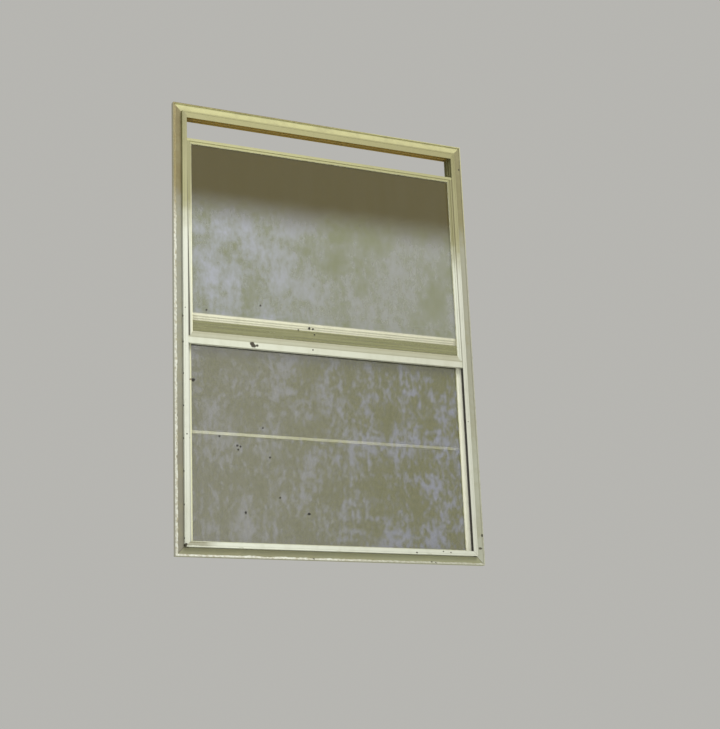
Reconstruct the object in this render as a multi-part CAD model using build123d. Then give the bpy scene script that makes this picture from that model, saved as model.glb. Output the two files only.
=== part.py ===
"""Aluminium triple-track sash window with its mounting band.

A mitred band lines the opening and carries a mitred frame with three tracks, one behind the other.
The upper glazed sash runs in the outer track, the lower glazed sash in the middle one and the insect
screen in the inner one. Each of the three is held by two sprung latch bolts in its bottom rail.
The upper sash stands a little dropped, so there is a gap below the head.

X points right as seen from outside, Y points in through the wall, Z points up, in millimetres.
The origin is at the bottom centre of the window.
"""
import os

from build123d import *

# Window
window_width = 951.0
window_height = 1329.0

# How far a cutting shape runs past what it cuts
overshoot = 1.0

# Mounting band
band_face = 24.5
band_wall = 2.0
band_edge_width = 3.0
band_edge_rise = 3.0
band_return = 12.0
band_foot = 6.5
gusset_leg = 60.0
gusset_wall = 1.5
gusset_gap = 0.5

# Track frame
track_gap = 1.0
track_proud = 10.0
track_count = 3
channel_room = 14.0
track_wall = 1.5
lip_width = 13.5
head_lip_width = 20.4
fin_step = 1.5
sill_guide = 3.2
lip_groove_rise = 4.0
lip_groove_width = 0.9
lip_groove_depth = 0.5
key_leg = 18.0
key_wall = 2.0
key_width = 12.0
weep_width = 12.0
weep_height = 2.2
weep_spacing = 290.0
weep_count = 3

# Sashes
sash_depth = 12.5
sash_reach = 7.5
sash_wall = 1.2
seat_gap = 0.3
head_gap = 8.0
upper_drop = 75.0
lower_height = 664.2
meeting_overlap = 18.0
stile_box = 14.2
glazing_leg = 7.0
leg_wall = 1.2
upper_top_box = 8.0
upper_bottom_box = 21.5
upper_bottom_leg = 14.0
lower_top_box = 13.5
lower_bottom_box = 10.0
lower_bottom_leg = 6.5
hook_wall = 0.8
hook_gap = 0.5
hook_leg = 7.0
hook_trim = 2.4
hook_clearance = 2.0
rail_groove = 0.6
rail_groove_drop = 1.0

# Glass and gaskets
glass_thickness = 3.0
glass_slack = 0.05
gasket_wall = 1.6
gasket_base = 1.4
gasket_stand = 0.8

# Pile weatherstrips
pile_place = 3.0
pile_width = 2.8
pile_seat = 0.6
pile_stand = 0.45
pile_slack = 0.1

# Latches
bolt_height = 4.2
bolt_slack = 0.2
bolt_tip_gap = 0.3
bolt_bevel = 3.0
bolt_body = 36.7
bolt_retreat = 6.0
tab_width = 6.0
tab_height = 3.0
tab_stand = 2.2
tab_place = 28.0
tab_slack = 0.4
slot_slack = 0.4
guide_front = 16.7
spring_room = 27.0
spring_stop = 4.0
spring_radius = 1.5
spring_wire = 0.3
spring_sides = 4
spring_turns = 6
lower_travel = 588.0
upper_slot_count = 6
lower_slot_count = 6

# Screws and rivets
screw_head_radius = 3.5
screw_head_height = 2.2
screw_head_chamfer = 0.55
screw_radius = 1.95
screw_slack = 0.15
screw_access = 4.0
screw_bite = 12.0
boss_radius = 3.2
boss_slack = 0.05
boss_rib = 1.2
frame_screw_length = 8.0
rivet_head_radius = 3.0
rivet_head_height = 1.2
rivet_head_chamfer = 0.4
rivet_margin = 1.0
rivet_radius = 1.5
rivet_slack = 0.05
fixing_radius = 2.6
fixing_heights = (180.0, 1180.0)
jamb_screw_heights = (760.0, 1080.0)
head_screw_spacing = 600.0

# Setting blocks under the track frame
block_length = 60.0
block_width = 30.0
block_spacing = 500.0

# Lift on the lower sash
lift_length = 130.0
lift_reach = 2.6
lift_wall = 1.0
lift_drop = 4.0
lift_top_gap = 2.0

# Screen
screen_height = 669.7
screen_bar = 14.0
screen_depth = 11.5
screen_wall = 1.0
screen_tube = 9.0
spline_width = 3.4
spline_depth = 3.4
mesh_thickness = 0.4
mesh_recess = 0.6
spreader_height = 353.0
spreader_width = 8.0
spreader_depth = 6.0
spreader_wall = 1.0
mesh_gap = 0.4

# Places worked out from the sizes above
track_pitch = channel_room + track_wall
frame_depth = track_count * track_pitch + track_wall
front = -frame_depth / 2
back = frame_depth / 2
band_front = front + track_proud
track_edge = band_face + track_gap
track_half = window_width / 2 - track_edge
track_height = window_height - 2 * track_edge
track_middle = window_height / 2
web_half = track_half - track_wall
leg_half = window_width / 2 - band_face + band_wall
sill_top = track_edge + track_wall
head_bottom = window_height - track_edge - track_wall
lip_half = track_half - lip_width
fin_width = lip_width - fin_step
sash_half = lip_half + sash_reach
sash_bottom = sill_top + seat_gap
lower_top = sash_bottom + lower_height
upper_closed_top = head_bottom - head_gap
upper_closed_bottom = lower_top - meeting_overlap
upper_bottom = upper_closed_bottom - upper_drop
upper_top = upper_closed_top - upper_drop
screen_top = sash_bottom + screen_height
glass_pocket = glass_thickness + 2 * gasket_wall
tip_stand = web_half - bolt_tip_gap - sash_half
bolt_advance = bolt_tip_gap + track_wall
upper_lowest = sill_top + key_leg + bolt_slack
upper_fall = upper_bottom - upper_lowest
bolt_rise = bolt_slack + bolt_height / 2

# The section of every bar is drawn with Y across and the distance in from the outer edge upwards
bar_section = Plane(origin=(0, 0, 0), x_dir=(0, 1, 0), z_dir=(1, 0, 0))


def track_centre(track):
    """The Y of the middle of a track, counted from the outside."""
    return front + track_wall + channel_room / 2 + track * track_pitch


def strip(y_from, y_to, rise_from, rise_to):
    """One straight wall of a bar's section."""
    wall = Rectangle(y_to - y_from, rise_to - rise_from)
    return Pos((y_from + y_to) / 2, (rise_from + rise_to) / 2) * wall


def extruded(section, length):
    """A bar along X with the given section, centred on the origin."""
    return extrude(bar_section * section, amount=length / 2, both=True)


def prism(points):
    """A block through the whole depth, with an outline in X and Z that trims a bar's ends."""
    outline = make_face(Polyline(*points, close=True))
    return extrude(Plane.XZ * outline, amount=frame_depth, both=True)


def block(x_from, x_to, y_from, y_to, z_from, z_to):
    """A box between two corners."""
    centre = Pos((x_from + x_to) / 2, (y_from + y_to) / 2, (z_from + z_to) / 2)
    return centre * Box(abs(x_to - x_from), abs(y_to - y_from), abs(z_to - z_from))


def mitred(section, length, reach):
    """A bar along X, mitred at both ends, with its outer edge on Z = 0."""
    half = length / 2
    corners = [(-half, 0), (half, 0), (half - reach, reach), (-half + reach, reach)]
    return extruded(section, length) & prism(corners)


def as_sill(bar, base):
    return Pos(0, 0, base) * bar


def as_head(bar, top):
    return Pos(0, 0, top) * Rot(0, 180, 0) * bar


def as_left_jamb(bar, half, middle):
    return Pos(-half, 0, middle) * Rot(0, 90, 0) * bar


def as_right_jamb(bar, half, middle):
    return Pos(half, 0, middle) * Rot(0, -90, 0) * bar


def across(radius, x_from, x_to, y, z):
    """A round bar or hole along X."""
    return Pos((x_from + x_to) / 2, y, z) * Rot(0, 90, 0) * Cylinder(radius, abs(x_to - x_from))


def upright(radius, x, y, z_from, z_to):
    """A round bar or hole along Z."""
    return Pos(x, y, (z_from + z_to) / 2) * Cylinder(radius, abs(z_to - z_from))


def other_side(shape):
    """The same piece on the left of the window."""
    return mirror(shape, about=Plane.YZ)


def one(shape):
    """The single solid of a shape."""
    return shape.solids()[0]


def group(shapes):
    """Like pieces that share one node."""
    return Compound(children=[solid for shape in shapes for solid in shape.solids()])


# Mounting band
def band_section():
    face = strip(band_front, band_front + band_wall, 0, band_face)
    edge = strip(band_front - band_edge_rise, band_front + band_wall, 0, band_edge_width)
    outer_return = strip(band_front, band_front + band_return, 0, band_wall)
    leg = strip(band_front, back, band_face - band_wall, band_face)
    foot = strip(back - band_wall, back, band_face - band_wall - band_foot, band_face)
    return face + edge + outer_return + leg + foot


def band_bar(length):
    return mitred(band_section(), length, band_face)


def jamb_hole(radius, height):
    """A hole through the web of the right track jamb and the band's leg behind it, in the middle track."""
    return across(radius, web_half - overshoot, leg_half + overshoot, track_centre(1), height)


def jamb_holes():
    """The fixing holes of the right jamb, and the holes of the screws that hold it in the band."""
    fixings = [jamb_hole(fixing_radius, height) for height in fixing_heights]
    screws = [jamb_hole(screw_radius + screw_slack, height) for height in jamb_screw_heights]
    return fixings + screws


def head_holes():
    places = [-head_screw_spacing / 2, head_screw_spacing / 2]
    leg_top = window_height - band_face + band_wall
    radius = screw_radius + screw_slack
    low, high = head_bottom - overshoot, leg_top + overshoot
    return [upright(radius, x, track_centre(1), low, high) for x in places]


def band_jamb():
    """The right jamb of the band."""
    bar = as_right_jamb(band_bar(window_height), window_width / 2, track_middle)
    for hole in jamb_holes():
        bar = bar - hole
    return bar


def band_head():
    bar = as_head(band_bar(window_width), window_height)
    for hole in head_holes():
        bar = bar - hole
    return one(bar)


def band_sill():
    return one(as_sill(band_bar(window_width), 0))


def band_gussets():
    """Flat angle plates behind the mitres of the band."""
    near = band_wall + gusset_gap
    far = band_face - band_wall - gusset_gap
    edge = window_width / 2
    outline = Polyline(
        (edge - near, near), (edge - near - gusset_leg, near), (edge - near - gusset_leg, far),
        (edge - far, far), (edge - far, near + gusset_leg), (edge - near, near + gusset_leg), close=True,
    )
    face = band_front + band_wall
    plate = Pos(0, face + gusset_wall, 0) * extrude(Plane.XZ * make_face(outline), amount=gusset_wall)
    upper = Pos(0, 0, window_height) * mirror(plate, about=Plane.XY)
    return group([plate, other_side(plate), upper, other_side(upper)])


# Track frame
def lip_section():
    """The outer lip that shows, with a fine groove along it."""
    groove_end = lip_groove_rise + lip_groove_width
    groove = strip(front, front + lip_groove_depth, lip_groove_rise, groove_end)
    return strip(front, front + track_wall, 0, lip_width) - groove


def channel_section(fin_rise):
    """The web behind the lip, with the fins that part the tracks."""
    section = strip(front + track_wall, back, 0, track_wall)
    for number in range(1, track_count + 1):
        y = front + number * track_pitch
        section = section + strip(y, y + track_wall, 0, fin_rise)
    return section


def upper_slot_heights():
    """Catch slots of the outer track: closed, as it stands, then even steps down to the lowest place."""
    latch = upper_bottom + sash_wall + bolt_rise
    step = upper_fall / upper_slot_count
    return [latch + upper_drop] + [latch - number * step for number in range(upper_slot_count + 1)]


def lower_slot_heights():
    """Catch slots of the middle track, from the sill upwards."""
    latch = sash_bottom + sash_wall + bolt_rise
    step = lower_travel / lower_slot_count
    return [latch + number * step for number in range(lower_slot_count + 1)]


def screen_slot_heights():
    return [height + screen_wall - sash_wall for height in lower_slot_heights()]


def catch_slot(track, depth, height):
    """A slot through the right jamb's web for the tip of a latch bolt."""
    half = depth / 2 + slot_slack
    rise = bolt_height / 2 + slot_slack
    y = track_centre(track)
    far = track_half + overshoot
    return block(web_half - overshoot, far, y - half, y + half, height - rise, height + rise)


def catch_slots():
    sash_bolt = bolt_depth(sash_depth, sash_wall)
    screen_bolt = bolt_depth(screen_depth, screen_wall)
    slots = [catch_slot(0, sash_bolt, height) for height in upper_slot_heights()]
    slots = slots + [catch_slot(1, sash_bolt, height) for height in lower_slot_heights()]
    return slots + [catch_slot(2, screen_bolt, height) for height in screen_slot_heights()]


def track_jamb():
    """The right track jamb: mitred at the head, and standing on the sill behind its mitred lip."""
    lip = as_right_jamb(mitred(lip_section(), track_height, lip_width), track_half, track_middle)
    channel = as_right_jamb(extruded(channel_section(fin_width), track_height), track_half, track_middle)
    top = window_height - track_edge
    trim = prism([
        (track_half, sill_top), (track_half, top), (lip_half, top - lip_width), (lip_half, sill_top),
    ])
    bar = lip + (channel & trim)
    for hole in catch_slots() + jamb_holes() + jamb_rivet_holes():
        bar = bar - hole
    return bar


def track_head():
    """The head track: mitred, with a lip that reaches further down between the jambs' lips."""
    bar = mitred(lip_section() + channel_section(fin_width), 2 * track_half, lip_width)
    deep_lip = extruded(strip(front, front + track_wall, lip_width, head_lip_width), 2 * lip_half)
    bar = as_head(bar + deep_lip, window_height - track_edge)
    rivets = level_rivet_holes(head_bottom - overshoot, head_bottom + track_wall + overshoot)
    for hole in head_holes() + rivets:
        bar = bar - hole
    return one(bar)


def track_sill():
    """The sill track: a mitred lip, a floor under the jambs with low guides between them, and weep slots."""
    lip = mitred(lip_section(), 2 * track_half, lip_width)
    floor = extruded(strip(front + track_wall, back, 0, track_wall), 2 * track_half)
    guides = extruded(channel_section(sill_guide), 2 * lip_half)
    bar = as_sill(lip + floor + guides, track_edge)
    for number in range(weep_count):
        x = (number - (weep_count - 1) / 2) * weep_spacing
        low, high = x - weep_width / 2, x + weep_width / 2
        under = track_edge - overshoot
        lip_back = front + track_wall + overshoot
        bar = bar - block(low, high, front - overshoot, lip_back, under, track_edge + weep_height)
        for track in range(1, track_count):
            y = track_centre(track)
            bar = bar - block(low, high, y - weep_height, y + weep_height, under, sill_top + overshoot)
    for hole in level_rivet_holes(track_edge - overshoot, sill_top + overshoot):
        bar = bar - hole
    return one(bar)


def rivet_place():
    """How far a rivet of a corner key stands from the corner."""
    return key_leg - rivet_head_radius - rivet_margin


def jamb_rivet_holes():
    radius = rivet_radius + rivet_slack
    heights = [sill_top + rivet_place(), head_bottom - rivet_place()]
    low, high = web_half - key_wall - overshoot, track_half + overshoot
    return [across(radius, low, high, track_centre(0), z) for z in heights]


def level_rivet_holes(z_from, z_to):
    radius = rivet_radius + rivet_slack
    places = [web_half - rivet_place(), rivet_place() - web_half]
    return [upright(radius, x, track_centre(0), z_from, z_to) for x in places]


def corner_keys():
    """Angle keys in the outer track, riveted to both bars of each mitre."""
    x = web_half
    z = sill_top
    outline = Polyline(
        (x, z), (x - key_leg, z), (x - key_leg, z + key_wall), (x - key_wall, z + key_wall),
        (x - key_wall, z + key_leg), (x, z + key_leg), close=True,
    )
    low_key = extrude(Plane.XZ * make_face(outline), amount=key_width)
    low_key = Pos(0, track_centre(0) + key_width / 2, 0) * low_key
    high_key = Pos(0, 0, window_height) * mirror(low_key, about=Plane.XY)
    keys = [low_key, high_key]
    holes = jamb_rivet_holes()
    holes = holes + level_rivet_holes(sill_top - overshoot, sill_top + key_wall + overshoot)
    holes = holes + level_rivet_holes(head_bottom - key_wall - overshoot, head_bottom + overshoot)
    for hole in holes:
        keys = [key - hole for key in keys]
    return group(keys + [other_side(key) for key in keys])


def rivet():
    """A rivet with its head below Z = 0 and its shank up through the key and the bar."""
    head = upright(rivet_head_radius, 0, 0, -rivet_head_height, 0)
    head = chamfer(head.edges().group_by(Axis.Z)[0], rivet_head_chamfer)
    return head + upright(rivet_radius, 0, 0, 0, key_wall + track_wall)


def corner_rivets():
    y = track_centre(0)
    seat = web_half - key_wall
    low = sill_top + rivet_place()
    high = head_bottom - rivet_place()
    right = [Pos(seat, y, z) * Rot(0, 90, 0) * rivet() for z in (low, high)]
    right.append(Pos(web_half - rivet_place(), y, head_bottom - key_wall) * rivet())
    right.append(Pos(web_half - rivet_place(), y, sill_top + key_wall) * Rot(180, 0, 0) * rivet())
    return group(right + [other_side(shape) for shape in right])


def screw(length):
    """A pan-head screw with its head below Z = 0 and its shank pointing up."""
    head = upright(screw_head_radius, 0, 0, -screw_head_height, 0)
    head = chamfer(head.edges().group_by(Axis.Z)[0], screw_head_chamfer)
    return head + upright(screw_radius, 0, 0, 0, length)


def track_screws():
    """Screws that hold the track frame in the band."""
    y = track_centre(1)
    right = [Pos(web_half, y, z) * Rot(0, 90, 0) * screw(frame_screw_length) for z in jamb_screw_heights]
    right.append(Pos(head_screw_spacing / 2, y, head_bottom) * screw(frame_screw_length))
    return group(right + [other_side(shape) for shape in right])


def setting_blocks():
    """Packers that carry the track frame on the band's sill."""
    y = (band_front + back) / 2
    pad = block(
        block_spacing / 2 - block_length / 2, block_spacing / 2 + block_length / 2,
        y - block_width / 2, y + block_width / 2, band_face, track_edge,
    )
    return group([pad, other_side(pad)])


# Sash members
class Panel:
    """The sizes of one glazed sash: its track, its height and its four rails and stiles."""

    def __init__(self, track, bottom, top, bottom_box, bottom_leg, top_box, top_leg):
        self.y = track_centre(track)
        self.bottom = bottom
        self.top = top
        self.bottom_box = bottom_box
        self.bottom_leg = bottom_leg
        self.top_box = top_box
        self.top_leg = top_leg

    def box_corners(self):
        """Half width, low Z and high Z where the hollow boxes end and the glazing legs begin."""
        return sash_half - stile_box, self.bottom + self.bottom_box, self.top - self.top_box

    def sight_corners(self, stand=0.0):
        """Half width, low Z and high Z of the glass that shows, less what the gasket covers."""
        half, low, high = self.box_corners()
        return half - glazing_leg - stand, low + self.bottom_leg + stand, high - self.top_leg - stand


upper_sash = Panel(
    0, upper_bottom, upper_top, upper_bottom_box, upper_bottom_leg, upper_top_box, glazing_leg,
)
lower_sash = Panel(
    1, sash_bottom, lower_top, lower_bottom_box, lower_bottom_leg, lower_top_box, glazing_leg,
)


def hollow(rise, depth, wall):
    """A hollow rectangular tube's section."""
    half = depth / 2
    return strip(-half, half, 0, rise) - strip(wall - half, half - wall, wall, rise - wall)


def glazing_legs(box, leg):
    inner = glass_pocket / 2
    outer = inner + leg_wall
    return strip(-outer, -inner, box, box + leg) + strip(inner, outer, box, box + leg)


def trims(panel, stand=0.0):
    """The blocks that mitre glazing legs or gaskets on the four sides: bottom, top, left, right."""
    half, low, high = panel.box_corners()
    sight, sight_low, sight_high = panel.sight_corners(stand)
    bottom = prism([(-half, low), (half, low), (sight, sight_low), (-sight, sight_low)])
    top = prism([(-half, high), (half, high), (sight, sight_high), (-sight, sight_high)])
    left = prism([(-half, low), (-sight, sight_low), (-sight, sight_high), (-half, high)])
    right = prism([(half, low), (sight, sight_low), (sight, sight_high), (half, high)])
    return bottom, top, left, right


def screw_boss():
    """The screw port inside a stile, held by a rib from the glazing side."""
    place = Pos(0, stile_box / 2)
    ring_top = stile_box / 2 + boss_radius
    rib = strip(-boss_rib / 2, boss_rib / 2, ring_top - boss_rib / 2, stile_box - sash_wall)
    return place * Circle(boss_radius) + rib - place * Circle(screw_radius + boss_slack)


def pile_groove():
    face = -sash_depth / 2
    low = pile_place - pile_slack
    return strip(face, face + pile_seat, low, pile_place + pile_width + pile_slack)


def stile(panel):
    """The right stile of a sash: a tube between the rails' tubes, with glazing legs mitred to theirs."""
    half, low, high = panel.box_corners()
    section = hollow(stile_box, sash_depth, sash_wall) + screw_boss() - pile_groove()
    tube = as_right_jamb(extruded(section, high - low), sash_half, (low + high) / 2)
    legs = extruded(glazing_legs(stile_box, glazing_leg), panel.top - panel.bottom)
    legs = as_right_jamb(legs, sash_half, (panel.top + panel.bottom) / 2) & trims(panel)[3]
    return Pos(0, panel.y, 0) * (tube + legs)


def corner_screw_places():
    return sash_half - stile_box / 2


def rail(panel, at_top):
    """A sash rail: a tube across the whole width, with glazing legs mitred to the stiles'."""
    box = panel.top_box if at_top else panel.bottom_box
    leg = panel.top_leg if at_top else panel.bottom_leg
    tube = extruded(hollow(box, sash_depth, sash_wall), 2 * sash_half)
    legs = extruded(glazing_legs(box, leg), 2 * sash_half)
    if at_top:
        tube = as_head(tube, panel.top)
        legs = as_head(legs, panel.top) & trims(panel)[1]
    else:
        tube = as_sill(tube, panel.bottom)
        legs = as_sill(legs, panel.bottom) & trims(panel)[0]
    bar = tube + legs
    outer = panel.top if at_top else panel.bottom
    inner = panel.top - box if at_top else panel.bottom + box
    inward = -1 if at_top else 1
    bite = sash_wall + overshoot
    past = inner + inward * overshoot
    for x in (-corner_screw_places(), corner_screw_places()):
        bar = bar - upright(screw_access, x, 0, outer - inward * overshoot, outer + inward * bite)
        bar = bar - upright(screw_radius + screw_slack, x, 0, inner - inward * bite, past)
    return bar


def hook(face, reach, low, high, turn):
    """An interlock hook along a meeting rail: a ledge from the face at Y, and a lip turned up or down."""
    outward = 1 if reach > 0 else -1
    tip = face + reach
    ledge_low, ledge_high = (low, low + hook_wall) if turn > 0 else (high - hook_wall, high)
    y_low, y_high = sorted((face, tip))
    lip_low, lip_high = sorted((tip - outward * hook_wall, tip))
    length = 2 * (lip_half - hook_trim)
    section = strip(y_low, y_high, ledge_low, ledge_high) + strip(lip_low, lip_high, low, high)
    return extruded(section, length)


def tab_slots(depth, wall, height):
    """The slots in a bottom rail that the latches' thumb tabs slide in."""
    middle = sash_half - tab_place
    low = middle - tab_width / 2 - bolt_retreat - tab_slack
    high = middle + tab_width / 2 + bolt_advance + tab_slack
    rise = tab_height / 2 + tab_slack
    inside = depth / 2 - wall - slot_slack
    right = block(low, high, inside, depth / 2 + overshoot, height - rise, height + rise)
    return right + other_side(right)


def upper_top_rail():
    return one(Pos(0, upper_sash.y, 0) * rail(upper_sash, True))


def upper_bottom_rail():
    """The upper meeting rail, with a drip groove along its face and a hook up its back."""
    bar = rail(upper_sash, False)
    face = -sash_depth / 2
    line = upper_bottom + upper_bottom_box - sash_wall - rail_groove_drop
    bar = bar - block(-sash_half, sash_half, face, face + rail_groove, line, line + rail_groove)
    bar = bar - tab_slots(sash_depth, sash_wall, upper_bottom + sash_wall + bolt_rise)
    lip_top = lower_top - hook_wall - hook_clearance - upper_drop
    reach = sash_gap() - hook_gap
    bar = bar + hook(sash_depth / 2, reach, lip_top - hook_leg, lip_top, 1)
    return one(Pos(0, upper_sash.y, 0) * bar)


def sash_gap():
    """The clear space between the two glazed sashes."""
    return track_pitch - sash_depth


def lower_top_rail():
    """The lower meeting rail, with a hook down its front."""
    reach = sash_gap() - hook_gap
    bar = rail(lower_sash, True)
    bar = bar + hook(-sash_depth / 2, -reach, lower_top - hook_leg, lower_top, -1)
    return one(Pos(0, lower_sash.y, 0) * bar)


def lower_bottom_rail():
    bar = rail(lower_sash, False)
    bar = bar - tab_slots(sash_depth, sash_wall, sash_bottom + sash_wall + bolt_rise)
    return one(Pos(0, lower_sash.y, 0) * bar)


def glass(panel):
    half, low, high = panel.box_corners()
    seat = gasket_base + glass_slack
    edge = half - seat
    thick = glass_thickness / 2
    pane = block(-edge, edge, -thick, thick, low + seat, high - seat)
    return one(Pos(0, panel.y, 0) * pane)


def gasket_section(box, leg):
    """A channel that wraps the edge of the glass and stands a little proud of the glazing legs."""
    half = glass_pocket / 2
    thick = glass_thickness / 2 + glass_slack
    top = box + leg + gasket_stand
    return strip(-half, half, box, top) - strip(-thick, thick, box + gasket_base, top)


def gasket(panel):
    bottom_trim, top_trim, left_trim, right_trim = trims(panel, gasket_stand)
    length = 2 * sash_half
    height = panel.top - panel.bottom
    middle = (panel.top + panel.bottom) / 2
    side_section = gasket_section(stile_box, glazing_leg)
    bottom = as_sill(extruded(gasket_section(panel.bottom_box, panel.bottom_leg), length), panel.bottom)
    top = as_head(extruded(gasket_section(panel.top_box, panel.top_leg), length), panel.top)
    left = as_left_jamb(extruded(side_section, height), sash_half, middle)
    right = as_right_jamb(extruded(side_section, height), sash_half, middle)
    strips = [bottom & bottom_trim, top & top_trim, left & left_trim, right & right_trim]
    return group([Pos(0, panel.y, 0) * shape for shape in strips])


def pile_strips(panel):
    half, low, high = panel.box_corners()
    face = -sash_depth / 2
    edge = sash_half - pile_place
    right = block(edge - pile_width, edge, face - pile_stand, face + pile_seat, low, high)
    right = Pos(0, panel.y, 0) * right
    return group([right, other_side(right)])


def sash_screws(panel):
    x = corner_screw_places()
    low = panel.bottom + panel.bottom_box - sash_wall
    high = panel.top - panel.top_box + sash_wall
    length = sash_wall + screw_bite
    right = [
        Pos(x, panel.y, low) * screw(length),
        Pos(x, panel.y, high) * Rot(180, 0, 0) * screw(length),
    ]
    return group(right + [other_side(shape) for shape in right])


# Latches
def bolt_depth(depth, wall):
    return depth - 2 * wall - 2 * bolt_slack


def latch_bolt(y, floor, depth, wall):
    """The right flat bolt with its bevelled tip and thumb tab, lying on a bottom rail's floor."""
    half = bolt_depth(depth, wall) / 2
    tip = sash_half + tip_stand
    low = floor + bolt_slack
    high = low + bolt_height
    bar = block(sash_half - bolt_body, tip, -half, half, low, high)
    bevel = make_face(Polyline((tip, low), (tip - bolt_bevel, high), (tip, high), close=True))
    bar = bar - extrude(Plane.XZ * bevel, amount=depth, both=True)
    middle = sash_half - tab_place
    level = floor + bolt_rise
    tab = block(
        middle - tab_width / 2, middle + tab_width / 2, half, depth / 2 + tab_stand,
        level - tab_height / 2, level + tab_height / 2,
    )
    return Pos(0, y, 0) * (bar + tab)


def latch_spring(y, floor):
    """The right coil spring, between the bolt's end and its stop."""
    room = spring_room - 2 * spring_wire
    path = Helix(room / spring_turns, room, spring_radius)
    wire = Plane(origin=path @ 0, z_dir=path % 0) * RegularPolygon(spring_wire, spring_sides)
    coil = sweep(wire, path=path, is_frenet=True)
    start = sash_half - bolt_body - spring_room + spring_wire
    return Pos(start, y, floor + bolt_rise) * Rot(0, 90, 0) * coil


def latch_guides(y, floor, ceiling, depth, wall):
    """Blocks in a bottom rail that keep each bolt down and stop its spring."""
    half = depth / 2 - wall
    lid_low = floor + bolt_height + 2 * bolt_slack
    near = sash_half - guide_front
    far = sash_half - bolt_body - spring_room
    lid = block(far, near, -half, half, lid_low, ceiling)
    stop = block(far - spring_stop, far, -half, half, floor, ceiling)
    right = Pos(0, y, 0) * (lid + stop)
    return group([right, other_side(right)])


def lift():
    """The finger lift on the room side of the lower sash's bottom rail."""
    face = lower_sash.y + sash_depth / 2
    top = sash_bottom + lower_bottom_box - lift_top_gap
    section = strip(face, face + lift_reach, top - lift_wall, top)
    section = section + strip(face, face + lift_wall, top - lift_drop, top)
    return one(extruded(section, lift_length))


# Screen
screen_y = track_centre(2)


def screen_section():
    """A rolled tube with a spline groove and a lower landing for the mesh on its room side."""
    half = screen_depth / 2
    wall = screen_wall
    outer = strip(-half, half, 0, screen_bar)
    tube = strip(wall - half, half - wall, wall, screen_tube - wall)
    groove = strip(half - spline_depth, half, screen_tube, screen_tube + spline_width)
    under = strip(wall - half, half - spline_depth - wall, screen_tube, screen_bar - wall)
    landing = strip(half - mesh_recess, half, screen_tube + spline_width, screen_bar)
    return outer - tube - groove - under - landing


def screen_rail(at_top):
    bar = extruded(screen_section(), 2 * sash_half)
    bar = as_head(bar, screen_top) if at_top else as_sill(bar, sash_bottom)
    outer = screen_top if at_top else sash_bottom
    inward = -1 if at_top else 1
    seat = outer + inward * screen_tube
    inner = outer + inward * screen_bar
    past = inner + inward * overshoot
    bite = screen_wall + overshoot
    for x in (-screen_screw_place(), screen_screw_place()):
        bar = bar - upright(screw_access, x, 0, outer - inward * overshoot, outer + inward * bite)
        bar = bar - upright(screw_radius + screw_slack, x, 0, seat - inward * bite, past)
    half = screen_depth / 2
    groove_half = sash_half - screen_tube
    groove_floor = half - spline_depth
    crossing = block(groove_half - spline_width, groove_half, groove_floor, half + overshoot, seat, past)
    bar = bar - crossing - other_side(crossing)
    return bar


def screen_screw_place():
    return sash_half - screen_tube / 2


def screen_top_rail():
    return one(Pos(0, screen_y, 0) * screen_rail(True))


def screen_bottom_rail():
    bar = screen_rail(False)
    bar = bar - tab_slots(screen_depth, screen_wall, sash_bottom + screen_wall + bolt_rise)
    return one(Pos(0, screen_y, 0) * bar)


def screen_boss():
    place = Pos(0, screen_tube / 2)
    plug = strip(-boss_radius, boss_radius, screen_wall / 2, screen_tube - screen_wall / 2)
    return plug - place * Circle(screw_radius + boss_slack)


def screen_stile():
    """The right stile of the screen."""
    section = screen_section() + screen_boss()
    length = screen_height - 2 * screen_bar
    middle = (sash_bottom + screen_top) / 2
    return Pos(0, screen_y, 0) * as_right_jamb(extruded(section, length), sash_half, middle)


def screen_screws():
    x = screen_screw_place()
    low = sash_bottom + screen_tube - screen_wall
    high = screen_top - screen_tube + screen_wall
    length = screen_wall + screen_bar - screen_tube + screw_bite
    right = [
        Pos(x, screen_y, low) * screw(length),
        Pos(x, screen_y, high) * Rot(180, 0, 0) * screw(length),
    ]
    return group(right + [other_side(shape) for shape in right])


def ring(outer_half, inner_half, outer_low, outer_high, width, y_from, y_to):
    """A rectangular ring in X and Z."""
    outer = block(-outer_half, outer_half, y_from, y_to, outer_low, outer_high)
    low, high = outer_low + width, outer_high - width
    inner = block(-inner_half, inner_half, y_from - overshoot, y_to + overshoot, low, high)
    return outer - inner


def screen_mesh():
    """The mesh sheet, turned down into the spline groove all round."""
    half = screen_depth / 2
    face = half - mesh_recess
    floor = half - spline_depth
    groove_half = sash_half - screen_tube
    inner_half = groove_half - spline_width
    low = sash_bottom + screen_tube
    high = screen_top - screen_tube
    sheet = block(
        -inner_half - mesh_thickness, inner_half + mesh_thickness, face, face + mesh_thickness,
        low + spline_width - mesh_thickness, high - spline_width + mesh_thickness,
    )
    skirt = ring(
        inner_half + mesh_thickness, inner_half, low + spline_width - mesh_thickness,
        high - spline_width + mesh_thickness, mesh_thickness, floor, face,
    )
    hem = ring(groove_half, inner_half, low, high, spline_width, floor, floor + mesh_thickness)
    return one(Pos(0, screen_y, 0) * (sheet + skirt + hem))


def screen_spline():
    """Four lengths of spline that wedge the mesh in its groove."""
    half = screen_depth / 2
    y_from = half - spline_depth + mesh_thickness
    y_to = half
    width = spline_width - mesh_thickness
    groove_half = sash_half - screen_tube
    low = sash_bottom + screen_tube
    high = screen_top - screen_tube
    bottom = block(-groove_half, groove_half, y_from, y_to, low, low + width)
    top = block(-groove_half, groove_half, y_from, y_to, high - width, high)
    right = block(groove_half - width, groove_half, y_from, y_to, low + width, high - width)
    return group([Pos(0, screen_y, 0) * shape for shape in (bottom, top, right, other_side(right))])


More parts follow.
